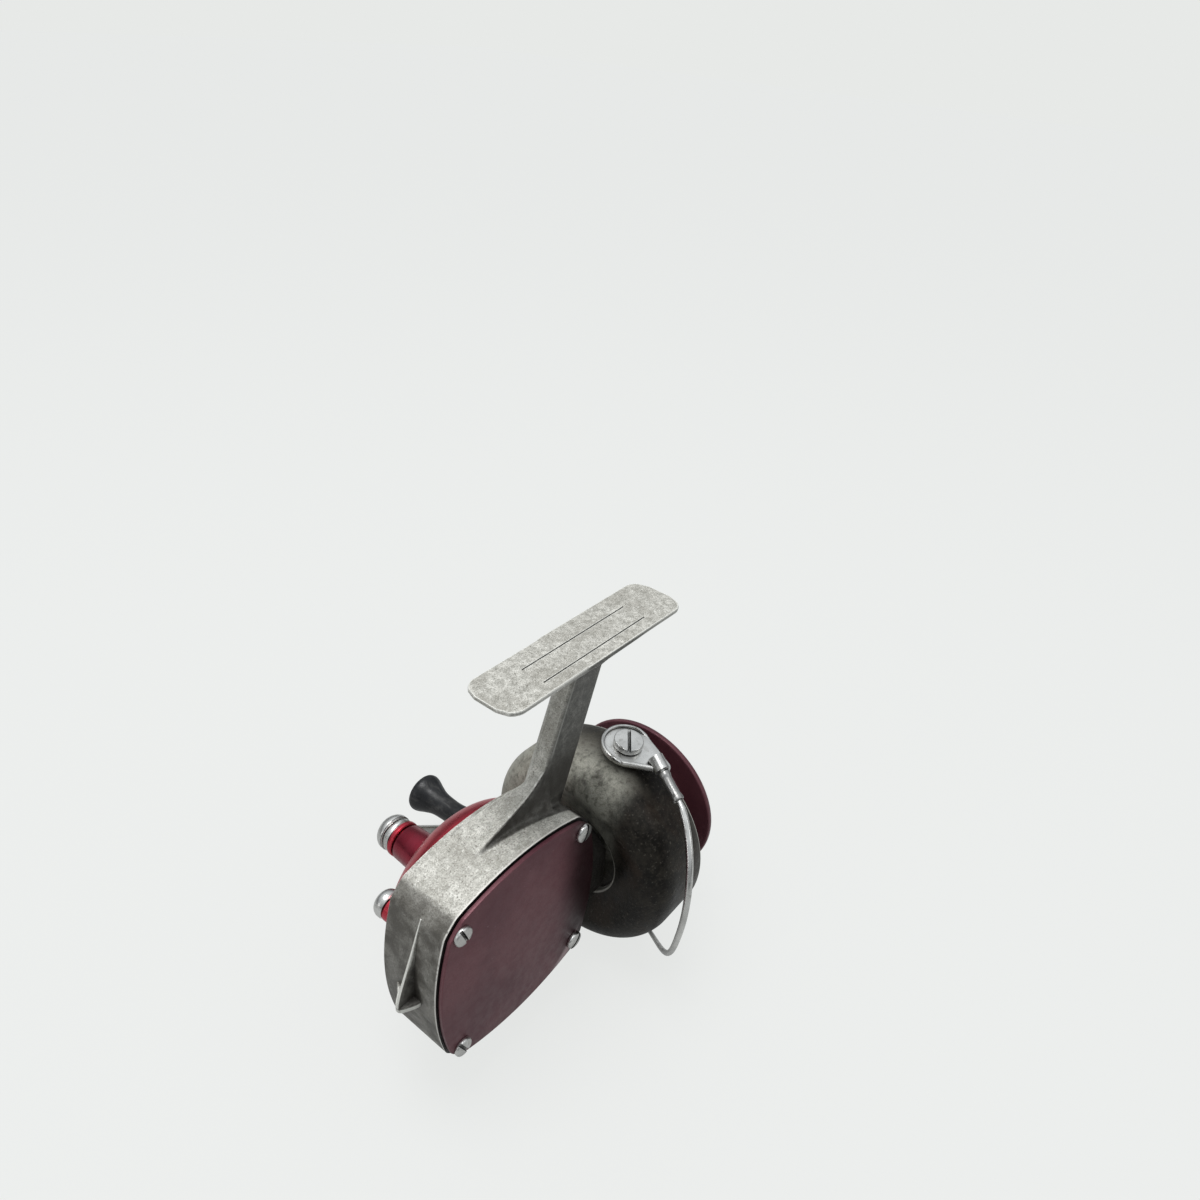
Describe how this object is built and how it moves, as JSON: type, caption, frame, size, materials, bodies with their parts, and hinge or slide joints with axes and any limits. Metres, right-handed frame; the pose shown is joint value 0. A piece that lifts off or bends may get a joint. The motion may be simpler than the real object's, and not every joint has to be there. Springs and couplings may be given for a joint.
{
  "type": "spinning reel",
  "caption": "Fixed-spool fishing reel with drop foot, domed gearbox, crank handle, rotor cup, folding bail and front drag knob.",
  "frame": {"origin": "middle of the foot's flat top, where it seats against the rod", "axes": "+X forward along the rod toward its tip, +Y to the handle side, +Z out of the foot's top toward the rod"},
  "size_m": [0.1155, 0.1037, 0.1123],
  "materials": {
    "cast_metal": "mottled grainy casting",
    "maroon_plate": "satin maroon",
    "crimson_cover": "brushed crimson anodised",
    "rotor_metal": "tarnished dark metal",
    "nickel_plate": "polished nickel",
    "dull_nickel": "dull nickel",
    "steel": "machined",
    "bearing_brass": "machined",
    "black_knob": "scuffed semi-gloss",
    "drag_fibre": "woven fibre washer"
  },
  "bodies": {
    "housing": {"body_casting": "cast_metal", "side_plate": "maroon_plate", "plate_screw_1": "nickel_plate", "plate_screw_2": "nickel_plate", "plate_screw_3": "nickel_plate", "plate_screw_4": "nickel_plate", "handle_side_cover": "crimson_cover", "crank_bush": "bearing_brass", "rear_rotor_bush": "bearing_brass", "front_rotor_bush": "bearing_brass", "bush_retaining_ring": "steel"},
    "crank": {"crank_shaft": "steel", "drive_gear": "steel", "ratchet_wheel": "steel", "handle_collar": "crimson_cover", "crank_arm": "nickel_plate", "handle_nut": "nickel_plate", "knob_spindle": "nickel_plate"},
    "knob": {"handle_knob": "black_knob"},
    "rotor": {"pinion": "bearing_brass", "rotor_cup": "rotor_metal", "rotor_lock_washer": "steel", "rotor_nut": "nickel_plate", "bail_pivot_screw": "nickel_plate", "bail_far_pivot_screw": "nickel_plate", "bail_spring": "steel"},
    "bail": {"bail_bracket": "nickel_plate", "bail_wire": "nickel_plate", "bail_far_arm": "nickel_plate"},
    "roller": {"line_roller": "dull_nickel"},
    "stroke_shaft": {"main_shaft": "steel", "crosshead": "bearing_brass", "crosshead_screw": "steel", "click_gear": "steel", "drag_plate_keyed": "steel", "drag_plate_front": "steel", "drag_spring": "steel"},
    "spool_body": {"spool": "maroon_plate", "drag_washer_inner": "drag_fibre", "drag_washer_outer": "drag_fibre"},
    "clicker": {"click_pawl": "bearing_brass"},
    "drag_adjuster": {"drag_knob": "black_knob"},
    "anti_reverse": {"anti_reverse_knob": "nickel_plate", "anti_reverse_pawl": "steel"}
  },
  "joints": [
    {"name": "crank_spin", "type": "hinge", "parent": "housing", "child": "crank", "pos_m": [-0.029, 0.0204, -0.0697], "axis": [0, 1, 0], "continuous": true},
    {"name": "knob_spin", "type": "hinge", "parent": "crank", "child": "knob", "pos_m": [0.00468, 0.05, -0.09462], "axis": [0, 1, 0], "continuous": true},
    {"name": "rotor_spin", "type": "hinge", "parent": "housing", "child": "rotor", "pos_m": [0, 0, -0.0757], "axis": [1, 0, 0], "continuous": true},
    {"name": "bail_flip", "type": "hinge", "parent": "rotor", "child": "bail", "pos_m": [0.019, -0.00473, -0.04203], "axis": [0, -0.1392, 0.9903], "range_deg": [0, 118]},
    {"name": "line_roller_spin", "type": "hinge", "parent": "bail", "child": "roller", "pos_m": [0.01899, -0.01639, -0.04323], "axis": [-0.3037, -0.8542, -0.422], "continuous": true},
    {"name": "spool_stroke", "type": "slide", "parent": "housing", "child": "stroke_shaft", "axis": [1, 0, 0], "range_m": [-0.01, 0.002]},
    {"name": "spool_drag_spin", "type": "hinge", "parent": "stroke_shaft", "child": "spool_body", "pos_m": [0.03, 0, -0.0757], "axis": [1, 0, 0], "continuous": true},
    {"name": "click_pawl_rock", "type": "hinge", "parent": "spool_body", "child": "clicker", "pos_m": [0.0303, 0, -0.0863], "axis": [1, 0, 0], "range_deg": [-15, 15], "stiffness_Nm_per_rad": 0.0005},
    {"name": "drag_knob_turn", "type": "hinge", "parent": "stroke_shaft", "child": "drag_adjuster", "pos_m": [0.045, 0, -0.0757], "axis": [1, 0, 0], "range_deg": [-360, 360]},
    {"name": "anti_reverse_switch", "type": "hinge", "parent": "housing", "child": "anti_reverse", "pos_m": [-0.0475, 0.0204, -0.0677], "axis": [0, 1, 0], "range_deg": [-25, 0]}
  ],
  "couplings": [
    {"joint": "rotor_spin", "follows": "crank_spin", "ratio": -4}
  ]
}
